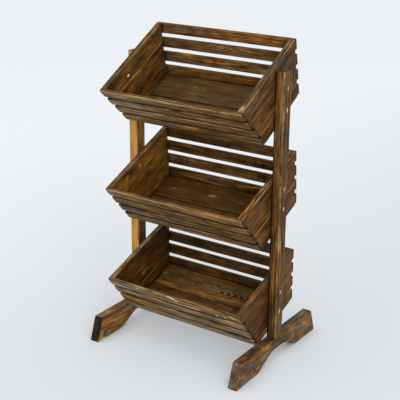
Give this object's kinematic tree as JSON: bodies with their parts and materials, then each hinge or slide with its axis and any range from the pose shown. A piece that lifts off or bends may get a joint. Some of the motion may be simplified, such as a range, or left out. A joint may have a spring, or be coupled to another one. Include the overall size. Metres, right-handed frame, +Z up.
{
  "type": "tiered fruit rack",
  "caption": "Free-standing timber rack with slatted crates, tilted to the front one above the other, screwed between two posts on arched sled feet, for showing fruit.",
  "frame": {"origin": "on the floor, midway between the four foot pads", "axes": "+X to the right along the crates, seen from the front; +Y from front to back; +Z up"},
  "size_m": [0.564, 0.49, 0.9978],
  "materials": {
    "crate_wood": "brushed softwood, stained dark walnut, worn pale along the edges",
    "post_wood": "planed softwood, stained walnut, wiped thin in places",
    "foot_wood": "planed softwood, stained walnut, dark end grain",
    "dowel_wood": "fluted hardwood, bare",
    "screw_steel": "yellow zinc plating",
    "brad_steel": "bright wire, set flush and stained over"
  },
  "bodies": {
    "root": {"left_foot": "foot_wood", "right_foot": "foot_wood", "left_post": "post_wood", "right_post": "post_wood", "lower_crate_left_end_lower_board": "crate_wood", "lower_crate_left_end_upper_board": "crate_wood", "lower_crate_right_end_lower_board": "crate_wood", "lower_crate_right_end_upper_board": "crate_wood", "lower_crate_front_slat_1": "crate_wood", "lower_crate_front_slat_2": "crate_wood", "lower_crate_front_slat_3": "crate_wood", "lower_crate_front_slat_4": "crate_wood", "lower_crate_back_slat_1": "crate_wood", "lower_crate_back_slat_2": "crate_wood", "lower_crate_back_slat_3": "crate_wood", "lower_crate_back_slat_4": "crate_wood", "lower_crate_floor_front_board": "crate_wood", "lower_crate_floor_rear_board": "crate_wood", "lower_crate_brads": "brad_steel", "lower_crate_screws": "screw_steel", "middle_crate_left_end_lower_board": "crate_wood", "middle_crate_left_end_upper_board": "crate_wood", "middle_crate_right_end_lower_board": "crate_wood", "middle_crate_right_end_upper_board": "crate_wood", "middle_crate_front_slat_1": "crate_wood", "middle_crate_front_slat_2": "crate_wood", "middle_crate_front_slat_3": "crate_wood", "middle_crate_front_slat_4": "crate_wood", "middle_crate_back_slat_1": "crate_wood", "middle_crate_back_slat_2": "crate_wood", "middle_crate_back_slat_3": "crate_wood", "middle_crate_back_slat_4": "crate_wood", "middle_crate_floor_front_board": "crate_wood", "middle_crate_floor_rear_board": "crate_wood", "middle_crate_brads": "brad_steel", "middle_crate_screws": "screw_steel", "upper_crate_left_end_lower_board": "crate_wood", "upper_crate_left_end_upper_board": "crate_wood", "upper_crate_right_end_lower_board": "crate_wood", "upper_crate_right_end_upper_board": "crate_wood", "upper_crate_front_slat_1": "crate_wood", "upper_crate_front_slat_2": "crate_wood", "upper_crate_front_slat_3": "crate_wood", "upper_crate_front_slat_4": "crate_wood", "upper_crate_back_slat_1": "crate_wood", "upper_crate_back_slat_2": "crate_wood", "upper_crate_back_slat_3": "crate_wood", "upper_crate_back_slat_4": "crate_wood", "upper_crate_floor_front_board": "crate_wood", "upper_crate_floor_rear_board": "crate_wood", "upper_crate_brads": "brad_steel", "upper_crate_screws": "screw_steel", "foot_dowels": "dowel_wood"}
  },
  "joints": []
}
